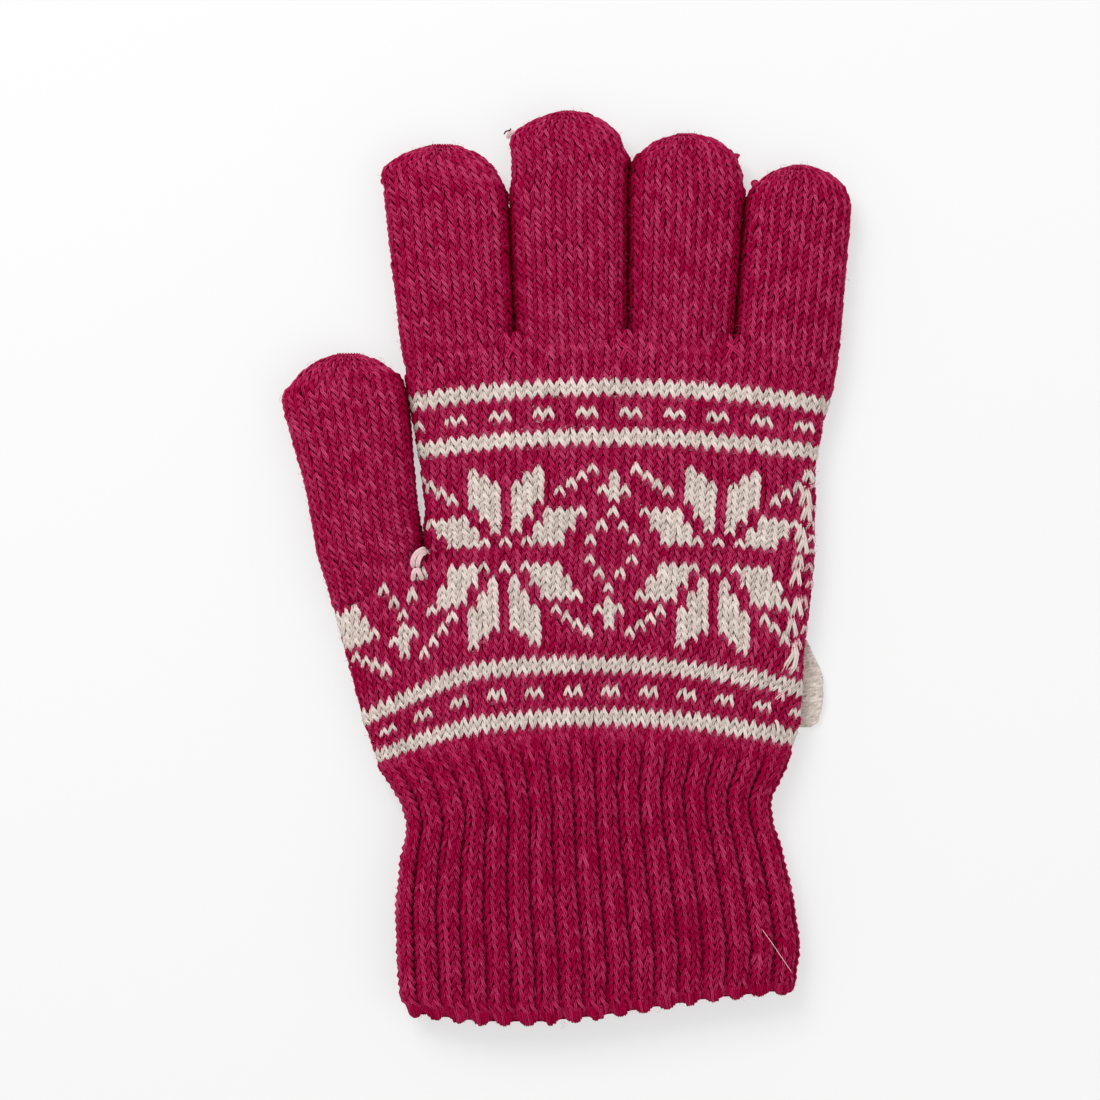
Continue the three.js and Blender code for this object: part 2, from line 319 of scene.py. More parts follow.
def is_white(wale, course):
    """Colour of the stitch in a wale, in the course between `course` and `course` + 1."""
    level = course if course >= 0 else -course - 1
    if any(low <= level < high for low, high in STRIPES):
        return True
    if level == DOT_LEVEL:
        return (wale + 1) % 4 < 2
    if EDGE_ZONE[0] <= wale <= EDGE_ZONE[1]:
        return False
    near = abs((wale + 10) % PATTERN_REPEAT - 10)
    flake_level = level if course >= 0 else level - 1
    if any(low <= flake_level < high for low, high in SNOWFLAKE.get(near, [])):
        return True
    return level in BETWEEN.get(near, ())


# ---- Digits ----
# name: (wales round the tube, courses, tilt of its courses, hand course that it grows from)
DIGITS = {
    "thumb": (24, 33, 0.11, 0),
    "index": (24, 31, 0.06, 29),
    "middle": (25, 36, 0.02, 29),
    "ring": (24, 31, -0.05, 29),
    "little": (23, 29, -0.08, 29),
}
DIGIT_SKEW = {"thumb": 0.12, "index": 0.13, "middle": 0.12, "ring": 0.09, "little": 0.0}
CROWN = 1.3  # rise of a digit's courses in its middle
# Metres below and above a digit's fold, and on each side of its knuckle. The split between a digit's
# base and end pieces lies halfway between fold plus FOLD_ABOVE and knuckle less KNUCKLE_REACH.
FOLD_BELOW, FOLD_ABOVE, KNUCKLE_REACH = 0.0015, 0.009, 0.0045

OUTLINES = {name: Outline([f"{name}_proximal", f"{name}_distal"]) for name in DIGITS}
# Corners at the tip knots: [digit, y, swell to the left, reach upwards, reach downwards]
CORNERS = [("thumb", 38.5, 2.5, 4.5, 14.0), ("index", 91.5, 2.2, 5.0, 2.5),
           ("middle", 98.8, 1.6, 4.5, 2.5)]
for name, corner_y, swell, above, below in CORNERS:
    off = OUTLINES[name].y - corner_y
    OUTLINES[name].limits[:, 0] -= swell * np.exp(-(off / np.where(off > 0, above, below)) ** 2)
NEIGHBOURS = {  # the outline at the left and at the right of a digit
    "thumb": (None, hand_high), "index": (None, OUTLINES["middle"]),
    "middle": (OUTLINES["index"], OUTLINES["ring"]),
    "ring": (OUTLINES["middle"], OUTLINES["little"]), "little": (OUTLINES["ring"], None),
}
TOUCH = 0.0  # clearance left between two soft sides that lean on each other
OPEN_GAP = (1.7, 2.8)  # from touching to free


def closeness(y, edge, index, neighbour):
    """1 where the gap to the neighbour is narrow, 0 where it is open or there is none."""
    gap = np.abs(neighbour.at(y, 1 - index) - edge)
    beside = (y >= neighbour.y[0]) & (y <= neighbour.y[-1])
    return np.clip((OPEN_GAP[1] - gap) / (OPEN_GAP[1] - OPEN_GAP[0]), 0, 1) * beside


def lean_out(y, edge, index, neighbour):
    """Edge of a digit, moved out to meet the neighbour where the gap between them is narrow."""
    if neighbour is None:
        return edge
    gap = abs(neighbour.at(y, 1 - index) - edge)
    step = max(gap / 2 - TOUCH, 0) * closeness(y, edge, index, neighbour)
    return edge + (step if index else -step)


class Digit:
    """A finger's or the thumb's tube, from its root course in the hand to its tip."""

    def __init__(self, name):
        self.name = name
        self.wales, self.courses, self.tilt, self.root = DIGITS[name]
        self.outline = OUTLINES[name]
        y = self.outline.y
        self.fold, self.tip = y[0], y[-1]
        base_left, base_right = self.outline.at(self.fold, 0), self.outline.at(self.fold, 1)
        self.centre = (base_left + base_right) / 2
        self.hand = hand_low if name == "thumb" else hand_high
        self.hand_edges = self.hand.limits[-1, :2]
        self.base_y = self.root_line(np.array([self.centre]))[0]
        # courses are equal steps along the tube, measured over the rounding of the tip
        fine = np.linspace(self.base_y, self.tip - 0.12, 600)
        width = (self.outline.at(fine, 1) - self.outline.at(fine, 0)) / 2
        height = (self.outline.at(fine, 3) - self.outline.at(fine, 2)) / 2
        step = np.sqrt(np.gradient(fine) ** 2 + (0.55 * np.gradient(width)) ** 2
                       + np.gradient(height) ** 2)
        self.length = np.concatenate([[0], np.cumsum(step[1:])])
        self.fine = fine
        self.grid = Grid(0, self.courses, self.wales, self.ring)
        # painted shade where the digit leans on its neighbours
        self.grid.shade_gaps(self.outline, NEIGHBOURS[name])

    def root_line(self, x):
        """y of the hand course that the digit grows from."""
        return course_height(self.root, x, *self.hand_edges)

    def edges(self, y, index):
        """Left (0) or right (1) limit; below the fold line an outer edge follows the hand's."""
        edge = self.outline.at(max(y, self.fold), index)
        if y > self.fold:
            edge = lean_out(y, edge, index, NEIGHBOURS[self.name][index])
        if y < self.fold and abs(edge - self.hand_edges[index]) < 1.0:
            edge += self.hand.at(y, index) - self.hand_edges[index]
        return edge

    def ring(self, course, columns):
        share = course / self.courses
        centre_y = np.interp(share * self.length[-1], self.length, self.fine)
        if course < 0:
            centre_y = self.base_y + course * self.length[-1] / self.courses
        flat = np.clip((self.tip - centre_y) / 9.0, 0, 1)
        own = min(max(share * 2.2, 0), 1)
        own = own * own * (3 - 2 * own)
        left, right = self.edges(centre_y, 0), self.edges(centre_y, 1)

        def height_of(x, left=left, right=right):
            middle, half = (left + right) / 2, max((right - left) / 2, 0.5)
            off = np.clip((x - middle) / half, -1.2, 1.2)
            from_hand = self.root_line(x) - self.base_y
            alone = self.tilt * flat * (x - middle) - CROWN * flat * off**2
            return centre_y + from_hand * (1 - own) + alone * own

        for _ in range(4):
            y_left, y_right = height_of(np.array([left]))[0], height_of(np.array([right]))[0]
            left, right = self.edges(y_left, 0), self.edges(y_right, 1)
        low, high = self.outline.at(centre_y, 2), self.outline.at(centre_y, 3)
        points = section(left, right, low, high, 2.9, height_of)
        whole = loop_length(points).sum()
        return arc_positions(points, (columns + 0.5) / self.wales * whole)


# ---- Cuff ----
CUFF_RIBS, CUFF_COURSES, WALES_PER_RIB = 34, 30, 3
RIB_TOP, RIB_DEPTH = 0.65, 1.8  # rise of the raised wales, drop to the sunk one
HEM_HEIGHT = 3.2
HEM_CORNER = 4.2  # above the hem's ends, where the cuff's sides are still whole
WRIST_Y = -46.5  # above this the cuff is at least as wide as the hand
# Painted shade in the rib valleys: the sunk wales count as lying in a gap, which darkens their yarn and
# cloth and lifts the cloth a little.
CUFF_VALLEY_PAINTED_SHADE = 0.27
CUFF_INSET = 0.9  # of the ribs' middle line at the cuff's sides
RIB_REST = 0.87  # lift of the same line below, so that the raised wales lie on the table


def hem_points():
    """The lower edge of the CAD hem's upper face."""
    points = np.array([v.co for v in frame["nodes"]["cuff_overlock_hem"].data.vertices]) / MM
    upper = points[points[:, 2] > CUFF_HIGH - 0.1]
    upper = upper[np.argsort(upper[:, 0])]
    low = [upper[np.abs(upper[:, 0] - at) < 1.0, 1].min() for at in upper[:, 0]]
    return upper[:, 0], np.array(low)


HEM_X, HEM_Y = hem_points()


def hem_line(x):
    """y of the cuff's end at x."""
    return np.interp(x, HEM_X, HEM_Y)


def cuff_ring(course, columns):
    share = course / CUFF_COURSES
    left, right = -42.0, 50.0

    def height_of(x):
        top = course_height(LOWER_FIRST, x, left, right)
        return top + (hem_line(x) + HEM_HEIGHT - top) * share

    for _ in range(5):
        y_left, y_right = height_of(np.array([left]))[0], height_of(np.array([right]))[0]
        y_left, y_right = max(y_left, HEM_Y[0] + HEM_CORNER), max(y_right, HEM_Y[-1] + HEM_CORNER)
        left = min(cuff_outline.at(y_left, 0), hand_low.at(y_left, 0) if y_left > WRIST_Y else 0)
        right = max(cuff_outline.at(y_right, 1), hand_low.at(y_right, 1) if y_right > WRIST_Y else 0)
    full = min(max(share * 4, 0), 1)
    left, right = left + CUFF_INSET * full, right - CUFF_INSET * full
    low, high = CUFF_LOW + RIB_REST * full, HAND_HIGH + (CUFF_HIGH - HAND_HIGH) * full
    points = section(left, right, low, high, 6.0, height_of)
    whole = loop_length(points).sum()
    phase = 2 * np.pi * (columns - 1.0) / WALES_PER_RIB
    spread = columns + 0.28 * WALES_PER_RIB / (2 * np.pi) * np.sin(phase)
    at = arc_positions(points, spread / (CUFF_RIBS * WALES_PER_RIB) * whole)
    ahead = arc_positions(points, spread / (CUFF_RIBS * WALES_PER_RIB) * whole + 0.2)
    outward = unit(np.cross(ahead - at, [0, 1, 0]))
    strength = min(max((share + 0.03) * 9, 0), 1) * (1 - 0.5 * min(max(share * 9 - 8, 0), 1))
    return at + outward * rib_height(columns)[:, None] * strength


def rib_height(columns):
    """Height of the rib: two raised wales, one sunk."""
    off = np.abs(np.mod(columns - 1.0 + WALES_PER_RIB / 2, WALES_PER_RIB) - WALES_PER_RIB / 2)
    sunk = np.clip((off - 0.62) / 0.8, 0, 1)
    return RIB_TOP - RIB_DEPTH * sunk * sunk * (3 - 2 * sunk)


# ---- Stitches ----
# Section of the two-strand yarn: (sideways, outwards), in half widths and half heights.
YARN_SECTION = np.array(
    [(1.0, -0.2), (0.62, 0.95), (0.0, 0.1), (-0.62, 0.95), (-1.0, -0.2), (0.0, -0.9)])
# Painted light and shade at those points: a painted highlight on the two strands, painted shade in the
# furrow, at the sides and below.
YARN_PAINTED_SHADE = np.array([-0.9, 0.55, -0.55, 0.55, -0.9, -1.9])
LOOP_STEPS = 11
GAP_PAINTED_SHADE = 3.4  # painted shade: how much darker the yarn is painted deep in a gap


def tube_faces(count, rings, sides, offset=0):
    """Quads and end faces of `count` equal tubes, as vertex indices."""
    ring, side = np.meshgrid(np.arange(rings - 1), np.arange(sides), indexing="ij")
    after = (side + 1) % sides
    quad = np.stack([ring * sides + side, ring * sides + after,
                     (ring + 1) * sides + after, (ring + 1) * sides + side], -1).reshape(-1, 4)
    starts = offset + np.arange(count)[:, None, None] * rings * sides
    return (quad[None] + starts).reshape(-1, 4)


def sweep(centres, normals, half_width, half_height, profile):
    """Vertices of tubes: centres (n, rings, 3) with a section that faces along the normals."""
    tangent = np.gradient(centres, axis=1)
    side = unit(np.cross(tangent, normals))
    out = unit(np.cross(side, tangent))
    across = side[:, :, None] * (half_width[..., None, None] * profile[:, 0:1])
    up = out[:, :, None] * (half_height[..., None, None] * profile[:, 1:2])
    return centres[:, :, None] + across + up


def stitches(grid, wale, course, nominal_pitch, seed, lift=LEG_LIFT, tall=1.0, bulk=1.0,
             skew=HAND_SKEW):
    """Loops of yarn centred on wale + 0.5, course + 0.5. The apex points to higher courses.
    tall is a loop's length against an ordinary one's, and bulk its yarn's."""
    local = np.random.default_rng(seed)
    count = len(wale)
    t = np.linspace(-0.93 * np.pi, 0.93 * np.pi, LOOP_STEPS)[None]

    def vary(spread):
        return local.normal(0, spread, (count, 1))

    reach = (LOOP_REACH + vary(0.05)) * np.broadcast_to(tall, count)[:, None]
    x = t / (2 * np.pi) + (LOOP_BULGE + vary(0.016)) * np.sin(2 * t) + vary(0.04) * np.sin(t / 2)
    x = x + (skew + vary(0.03)) * np.cos(t)
    z = -(lift + vary(0.05)) * np.cos(2 * t) + vary(0.05) + 0.06 * np.sin(t) * vary(1.0)
    wales = wale[:, None] + 0.5 + x + vary(0.025)
    courses = course[:, None] + 0.5 - reach * np.cos(t) + vary(0.05)
    centres, normals = grid.place(wales, courses, z)
    pitch = grid.sample(wale + 0.5, course + 0.5, grid.pitch[..., None])[:, 0]
    scale = np.clip(pitch / nominal_pitch, 0.3, 1.12)[:, None] * (1 + vary(0.06))
    thin = 1 - 0.4 * np.abs(t / np.pi) ** 5
    half_width = STRAND_SPREAD * bulk * nominal_pitch / WALE_PITCH * scale * thin
    half_height = STRAND_HEIGHT * bulk * np.clip(scale, 0.5, 1.1) * np.ones_like(t)
    vertices = sweep(centres, normals, half_width, half_height, YARN_SECTION)
    faces = tube_faces(count, LOOP_STEPS, len(YARN_SECTION))
    # Painted light and shade along each loop: lighter legs, darker ends where the loop passes under its
    # neighbours, and the right leg lighter as if lit from that side.
    leg_light_and_shade = 1.3 * np.sin(t) ** 2 - 0.9 + 0.3 * np.sin(t)
    in_gap = grid.sample(wales, courses, grid.gap[..., None])[..., 0]
    # The yarn's tone: that painted light and shade, a random tone per stitch, painted shade deep in a
    # gap or a rib valley, and the painted light and shade across the yarn.
    tone = (leg_light_and_shade + vary(0.27) - GAP_PAINTED_SHADE * in_gap)[..., None] + YARN_PAINTED_SHADE
    return vertices.reshape(-1, 3), faces, tone.ravel()


FIBRE_SECTION = np.array([(1.0, -0.5), (0.0, 1.0), (-1.0, -0.5)])
FIBRE_STEPS = 5
FIBRE_RADIUS = 0.028


def fibres(grid, first, last, count, seed, reach=1.0):
    """Short loose hairs that stand off the yarn."""
    local = np.random.default_rng(seed)
    wale = local.uniform(0, grid.wales, (count, 1))
    course = local.uniform(first, last, (count, 1))
    upper = grid.sample(wale, course, grid.normals)[:, 0, 2] > -0.25  # none under the glove
    wale, course, count = wale[upper], course[upper], int(upper.sum())
    heading = local.uniform(0, 2 * np.pi, (count, 1))
    turn = local.normal(0, 1.2, (count, 1))
    length = local.uniform(0.5, 1.5, (count, 1)) * reach
    t = np.linspace(0, 1, FIBRE_STEPS)[None]
    along = length * t
    x = along * np.cos(heading + turn * t) / WALE_PITCH
    y = along * np.sin(heading + turn * t) / COURSE_PITCH
    height = LEG_LIFT + 0.15 + local.uniform(0.15, 1.1, (count, 1)) * reach * np.sin(t * np.pi * 0.8)
    centres, normals = grid.place(wale + x, course + y, height)
    radius = FIBRE_RADIUS * (1 - 0.6 * t) * np.ones((count, 1))
    vertices = sweep(centres, normals, radius, radius, FIBRE_SECTION)
    faces = tube_faces(count, FIBRE_STEPS, 3)
    tone = np.repeat(local.normal(1.2, 0.5, count), FIBRE_STEPS * 3)
    return vertices.reshape(-1, 3), faces, tone


# ---- Mesh objects ----
def make_object(name, parts, material):
    """One mesh from (vertices in mm, quads, tone per vertex) parts."""
    vertices, faces, tones, offset = [], [], [], 0
    for points, quads, tone in parts:
        vertices.append(points)
        faces.append(quads + offset)
        tones.append(np.broadcast_to(tone, len(points)))
        offset += len(points)
    vertices, faces = np.concatenate(vertices) * MM, np.concatenate(faces)
    vertices[:, 2] = np.maximum(vertices[:, 2], 0)  # yarn lies on the table, not in it
    sizes = np.where(faces[:, 2] == faces[:, 3], 3, 4)
    mesh = bpy.data.meshes.new(name)
    mesh.vertices.add(len(vertices))
    mesh.vertices.foreach_set("co", vertices.astype(np.float32).ravel())
    flat = faces.ravel()[np.repeat(sizes, 4) >= np.tile([1, 2, 3, 4], len(faces))]
    mesh.loops.add(len(flat))
    mesh.loops.foreach_set("vertex_index", flat.astype(np.int32))
    mesh.polygons.add(len(faces))
    starts = np.concatenate([[0], np.cumsum(sizes)[:-1]])
    mesh.polygons.foreach_set("loop_start", starts.astype(np.int32))
    mesh.polygons.foreach_set("use_smooth", np.ones(len(faces), bool))
    mesh.update(calc_edges=True)
    tone_values = mesh.attributes.new("tone", "FLOAT", "POINT")
    tone_values.data.foreach_set("value", np.concatenate(tones).astype(np.float32))
    mesh.validate()
    mesh.materials.append(material)
    thing = bpy.data.objects.new(name, mesh)
    bpy.context.scene.collection.objects.link(thing)
    return thing


# ---- Materials ----
def srgb(red, green, blue):
    """Linear colour from 0 to 255 values."""
    values = [c / 255 for c in (red, green, blue)]
    return [*(v / 12.92 if v <= 0.04045 else ((v + 0.055) / 1.055) ** 2.4 for v in values), 1.0]


# how far the tone (painted light and shade, and random tone) moves the yarn's colour
TONE_STRENGTH = 0.21


def yarn_material(name, dark, mid, light, sheen=0.04, bump=0.3):
    """Brushed yarn: three shades and a painted shadow, set by the tone attribute (painted light and
    shade, and random tone) and by fine fibres.
    """
    dark, mid, light = srgb(*dark), srgb(*mid), srgb(*light)
    material = bpy.data.materials.new(name)
    material.use_nodes = True
    nodes, links = material.node_tree.nodes, material.node_tree.links
    shader = nodes["Principled BSDF"]
    coordinates = nodes.new("ShaderNodeTexCoord")
    fibre = nodes.new("ShaderNodeTexNoise")
    fibre.inputs["Scale"].default_value = 2600
    fibre.inputs["Detail"].default_value = 3
    links.new(coordinates.outputs["Object"], fibre.inputs["Vector"])
    tone = nodes.new("ShaderNodeAttribute")
    tone.attribute_name = "tone"

    def scaled(source, factor):
        node = nodes.new("ShaderNodeMath")
        node.operation = "MULTIPLY_ADD"
        links.new(source.outputs["Fac"], node.inputs[0])
        node.inputs[1].default_value = factor
        return node

    streaks, toned = scaled(fibre, 0.6), scaled(tone, TONE_STRENGTH)
    streaks.inputs[2].default_value = 0.2
    links.new(streaks.outputs[0], toned.inputs[2])
    ramp = nodes.new("ShaderNodeValToRGB")
    stops = ramp.color_ramp.elements
    # The lowest stop is a painted shadow below the dark shade; the light stop gives the painted
    # highlights on the strands.
    stops[0].position, stops[0].color = 0.0, [*(c * 0.42 for c in dark[:3]), 1.0]
    stops[1].position, stops[1].color = 0.85, light
    for position, colour in ((0.14, dark), (0.5, mid)):
        stops.new(position).color = colour
    links.new(toned.outputs[0], ramp.inputs["Fac"])
    links.new(ramp.outputs["Color"], shader.inputs["Base Color"])
    height = nodes.new("ShaderNodeBump")
    height.inputs["Strength"].default_value = bump
    height.inputs["Distance"].default_value = 0.0002
    links.new(fibre.outputs["Fac"], height.inputs["Height"])
    links.new(height.outputs["Normal"], shader.inputs["Normal"])
    shader.inputs["Roughness"].default_value = 0.9
    shader.inputs["Specular IOR Level"].default_value = 0.03
    shader.inputs["Sheen Weight"].default_value = sheen
    shader.inputs["Sheen Roughness"].default_value = 0.45
    shader.inputs["Sheen Tint"].default_value = light
    return material


CRIMSON = yarn_material("crimson_yarn", (128, 0, 33), (147, 1, 57), (190, 68, 108))
DEEP_CRIMSON = yarn_material("deep_crimson_yarn", (134, 0, 34), (145, 0, 55), (186, 60, 102))
WHITE = yarn_material("off_white_yarn", (138, 121, 115), (200, 186, 178), (228, 216, 209))
# A cloth layer under the yarn, coloured darker than the yarn: painted shade of the glove's inside seen
# between the loops.
PAINTED_SHADE_CLOTH = yarn_material("inner_cloth", (108, 0, 28), (124, 0, 36), (140, 2, 46), sheen=0.0)
RUBBER = yarn_material("elastic_thread", (206, 198, 190), (226, 220, 212), (240, 236, 230),
                       sheen=0.0, bump=0.15)
PALE = yarn_material("pale_pink_yarn", (140, 84, 94), (204, 168, 170), (230, 208, 206))
DARK_THREAD = yarn_material("dark_thread", (24, 4, 10), (40, 8, 18), (70, 18, 34))
FELT = yarn_material("label_felt", (150, 138, 128), (196, 184, 174), (222, 214, 206), bump=0.8)

# Metres: two points at the wrist, between the hand and the cuff; bend() reads them but does not bend
# the cloth.
HAND_BLEND = {"a": "palm", "b": "cuff", "start": (0, -0.0425, 0.0114), "end": (0, -0.0525, 0.0114)}


def bend(thing, blend, slot_name):
    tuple(blend["start"])
    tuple(blend["end"])
    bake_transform(thing)


def every_stitch(grid, first, last):
    """Wale and course of each stitch in a run of courses."""
    wale, course = np.meshgrid(np.arange(grid.wales), np.arange(first, last))
    return wale.ravel().astype(float), course.ravel().astype(float)


# ---- Hand ----
lower_grid = Grid(LOWER_FIRST, 0, LOWER_WALES,
                  lambda course, columns: hand_ring(hand_low, LOWER_WALES, course, columns))
upper_grid = Grid(0, UPPER_LAST, UPPER_WALES,
                  lambda course, columns: hand_ring(hand_high, UPPER_WALES, course, columns))
# painted shade where the upper hand leans on the thumb
upper_grid.shade_gaps(hand_high, (OUTLINES["thumb"], None))


CROTCH_JOINS = ("crotch_join_index_middle", "crotch_join_middle_ring", "crotch_join_ring_little")
CROTCHES = np.array([np.mean([corner[0] for corner in box_mm(join)]) for join in CROTCH_JOINS])


def build_hand(name, grid, first, last, replaced, fuzz, seed):
    wale, course = every_stitch(grid, first, last)
    if last == UPPER_LAST:  # two more courses over each finger crotch
        more_wale, more_course = every_stitch(grid, last, last + 2)
        x = grid.sample(more_wale + 0.5, more_course + 0.5, grid.points)[:, 0]
        near = np.abs(x[:, None] - CROTCHES).min(1) < 4.0 - 0.9 * (more_course - last)
        wale, course = np.append(wale, more_wale[near]), np.append(course, more_course[near])
    signed = np.where(wale > grid.wales * 0.62, wale - grid.wales, wale)
    white = np.array([is_white(int(w), int(c)) for w, c in zip(signed, course)])
    face = grid.sample(wale + 0.5, course + 0.5, grid.normals)[:, 2] > -0.2
    for label, chosen, material, slot_name in (
        ("crimson_face", ~white & face, CRIMSON, "crimson_yarn"),
        ("crimson_back", ~white & ~face, CRIMSON, "crimson_yarn"),
        ("white", white, WHITE, "off_white_yarn"),
    ):
        bulk = WHITE_BULK if label == "white" else 1.0
        parts = [stitches(grid, wale[chosen], course[chosen], WALE_PITCH, seed, bulk=bulk)]
        if label == "crimson_face":
            parts.append(fibres(grid, first, last, fuzz, seed + 7))
        thing = make_object(f"{name}_{label}_stitches", parts, material)
        bend(thing, HAND_BLEND, slot_name)
    end = last + (1.5 if last == UPPER_LAST else 0.5)
    cloth = make_object(f"{name}_inner_cloth", [grid.shell(first - 0.5, end, SHELL_DEPTH)], PAINTED_SHADE_CLOTH)
    bend(cloth, HAND_BLEND, "crimson_yarn")
    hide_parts(replaced)


build_hand("lower_hand", lower_grid, LOWER_FIRST, 0, "five_finger_body", 900, 100)
build_hand("upper_hand", upper_grid, 0, UPPER_LAST, "four_finger_body", 700, 200)

# ---- Fingers and thumb ----
joints = {joint["name"]: joint for joint in frame["joints"]}
digit_grids = {}
for order, name in enumerate(DIGITS):
    digit = Digit(name)
    digit_grids[name] = digit.grid
    fold_y = joints[f"{name}_fold"]["pos_m"][1]
    knuckle_y = joints[f"{name}_knuckle"]["pos_m"][1]
    split_y = (fold_y + FOLD_ABOVE + knuckle_y - KNUCKLE_REACH) / 2 / MM
    mid = digit.grid.points[:, :, 1].mean(1)
    split = int(round(np.interp(split_y, mid, digit.grid.courses)))
    wale, course = every_stitch(digit.grid, -1, digit.courses)
    pitch = float(np.median(digit.grid.pitch))
    halves = (
        ("base", course < split,
         ("palm", f"{name}_base", fold_y - FOLD_BELOW, fold_y + FOLD_ABOVE),
         (-0.5, split), f"{name}_proximal"),
        ("end", course >= split,
         (f"{name}_base", f"{name}_end", knuckle_y - KNUCKLE_REACH, knuckle_y + KNUCKLE_REACH),
         (split, digit.courses), f"{name}_distal"),
    )
    for half, chosen, (a, b, start, end), (first, last), node in halves:
        seed = 300 + order * 20 + (half == "end")
        blend = {"a": a, "b": b, "start": (0, start, 0.0104), "end": (0, end, 0.0104)}
        thing = make_object(f"{name}_{half}_stitches", [
            stitches(digit.grid, wale[chosen], course[chosen], pitch, seed,
                     skew=DIGIT_SKEW[name]),
            fibres(digit.grid, max(first, 0), last, 150, seed + 9),
        ], CRIMSON)
        bend(thing, blend, "crimson_yarn")
        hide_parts(node)
        shell = digit.grid.shell(first, last, SHELL_DEPTH, half == "end")
        cloth = make_object(f"{name}_{half}_inner_cloth", [shell], PAINTED_SHADE_CLOTH)
        bend(cloth, blend, "crimson_yarn")

# ---- Cuff ----
cuff_grid = Grid(0, CUFF_COURSES, CUFF_RIBS * WALES_PER_RIB, cuff_ring, per_wale=4, per_course=1)
# its courses run downwards, so normals and apexes are turned over
cuff_grid.normals = -cuff_grid.normals
# painted shade in the rib valleys, carried by the grid's gap
valley = (RIB_TOP - rib_height(np.arange(cuff_grid.wales * 4) / 4)) / RIB_DEPTH
cuff_grid.gap = CUFF_VALLEY_PAINTED_SHADE * valley * np.ones((len(cuff_grid.courses), 1))


def down_stitches(grid, wale, course, nominal_pitch, seed):
    """Stitches on a grid whose courses are counted towards the cuff's end."""
    turned = copy.copy(grid)
    turned.points, turned.normals = grid.points[::-1], grid.normals[::-1]
    turned.pitch, turned.gap = grid.pitch[::-1], grid.gap[::-1]
    turned.courses = -grid.courses[::-1]
    return stitches(turned, wale, -course - 1, nominal_pitch, seed, bulk=CUFF_BULK, skew=0.03)


wale, course = every_stitch(cuff_grid, -1, CUFF_COURSES)
face = cuff_grid.sample(wale + 0.5, course + 0.5, cuff_grid.normals)[:, 2] > 0
for label, chosen in (("face", face), ("back", ~face)):
    parts = [down_stitches(cuff_grid, wale[chosen], course[chosen], CUFF_PITCH, 501)]
    if label == "face":
        parts.append(fibres(cuff_grid, 0, CUFF_COURSES, 500, 505))
    thing = make_object(f"cuff_{label}_stitches", parts, DEEP_CRIMSON)
    bend(thing, HAND_BLEND, "deep_crimson_yarn")
    if label == "face":
        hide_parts("ribbed_cuff")
cuff_shell = cuff_grid.shell(-1, CUFF_COURSES + 1, SHELL_DEPTH)
cloth = make_object("cuff_inner_cloth", [cuff_shell], PAINTED_SHADE_CLOTH)
bend(cloth, HAND_BLEND, "deep_crimson_yarn")


def follow(points, radius, step=0.35, facing=(0, 0, 1), tone=0.3):
    """Yarn along a smooth line through points; facing is the side that shows both strands."""
    points = np.array(points, float)
    fine = np.linspace(0, len(points) - 1, max(int(loop_length(points)[:-1].sum() / step), 6))
    padded = np.vstack([2 * points[0] - points[1], points, 2 * points[-1] - points[-2]])
    i = np.minimum(fine.astype(int), len(points) - 2)
    t = (fine - i)[:, None]
    p0, p1, p2, p3 = (padded[i + k] for k in range(4))
    line = 0.5 * (2 * p1 + (p2 - p0) * t + (2 * p0 - 5 * p1 + 4 * p2 - p3) * t**2
                  + (3 * p1 - p0 - 3 * p2 + p3) * t**3)
    centres = line[None]
    normals = np.broadcast_to(np.array(facing, float), centres.shape)
    share = np.linspace(-1, 1, len(line))[None]
    width = radius * np.clip(1.15 - np.abs(share) ** 8, 0.15, 1)
    vertices = sweep(centres, normals, width * 1.25, width * 0.8, YARN_SECTION)
    faces = tube_faces(1, len(line), len(YARN_SECTION))
    # painted highlight on the strands and painted shade in the furrow, at the sides and below, moved by
    # tone
    return vertices.reshape(-1, 3), faces, np.tile(YARN_PAINTED_SHADE + tone, len(line))


# ---- Overlocked hem ----
HEM_TOP, HEM_END, HEM_SCALLOP = 29.7, 31.05, 0.36  # in cuff courses
HEM_WRAPS_PER_RIB = 11


def hem_fold(wale, t, height, wander=0.0):
    """Grid course and height on the fold over the cuff's end: outside at t = 0, inside at t = 1."""
    ridge = np.cos(2 * np.pi * (wale - 1.0) / WALES_PER_RIB)
    end = HEM_END + HEM_SCALLOP * ridge + wander
    course = HEM_TOP + (end - HEM_TOP) * np.sin(np.pi * np.clip(t * 1.04, 0, 1)) ** 0.6
    return course, height - 2.3 * t * t * (3 - 2 * t)


def hem_cloth():
    """The folded end itself, under the wraps."""
    wale = np.arange(cuff_grid.wales * 4)[:, None] / 4
    t = np.linspace(0, 1, 14)[None]
    course, height = hem_fold(wale, t, 0.1)
    points, _ = cuff_grid.place(wale + 0 * t, course, height)
    count, width = points.shape[:2]
    index = np.arange(count * width).reshape(count, width)
    after = np.roll(index, -1, 0)
    quads = np.stack([index[:, :-1], index[:, 1:], after[:, 1:], after[:, :-1]], -1)
    # painted shade: the fold under the wraps gets a darker tone
    return points.reshape(-1, 3), quads.reshape(-1, 4), -0.6


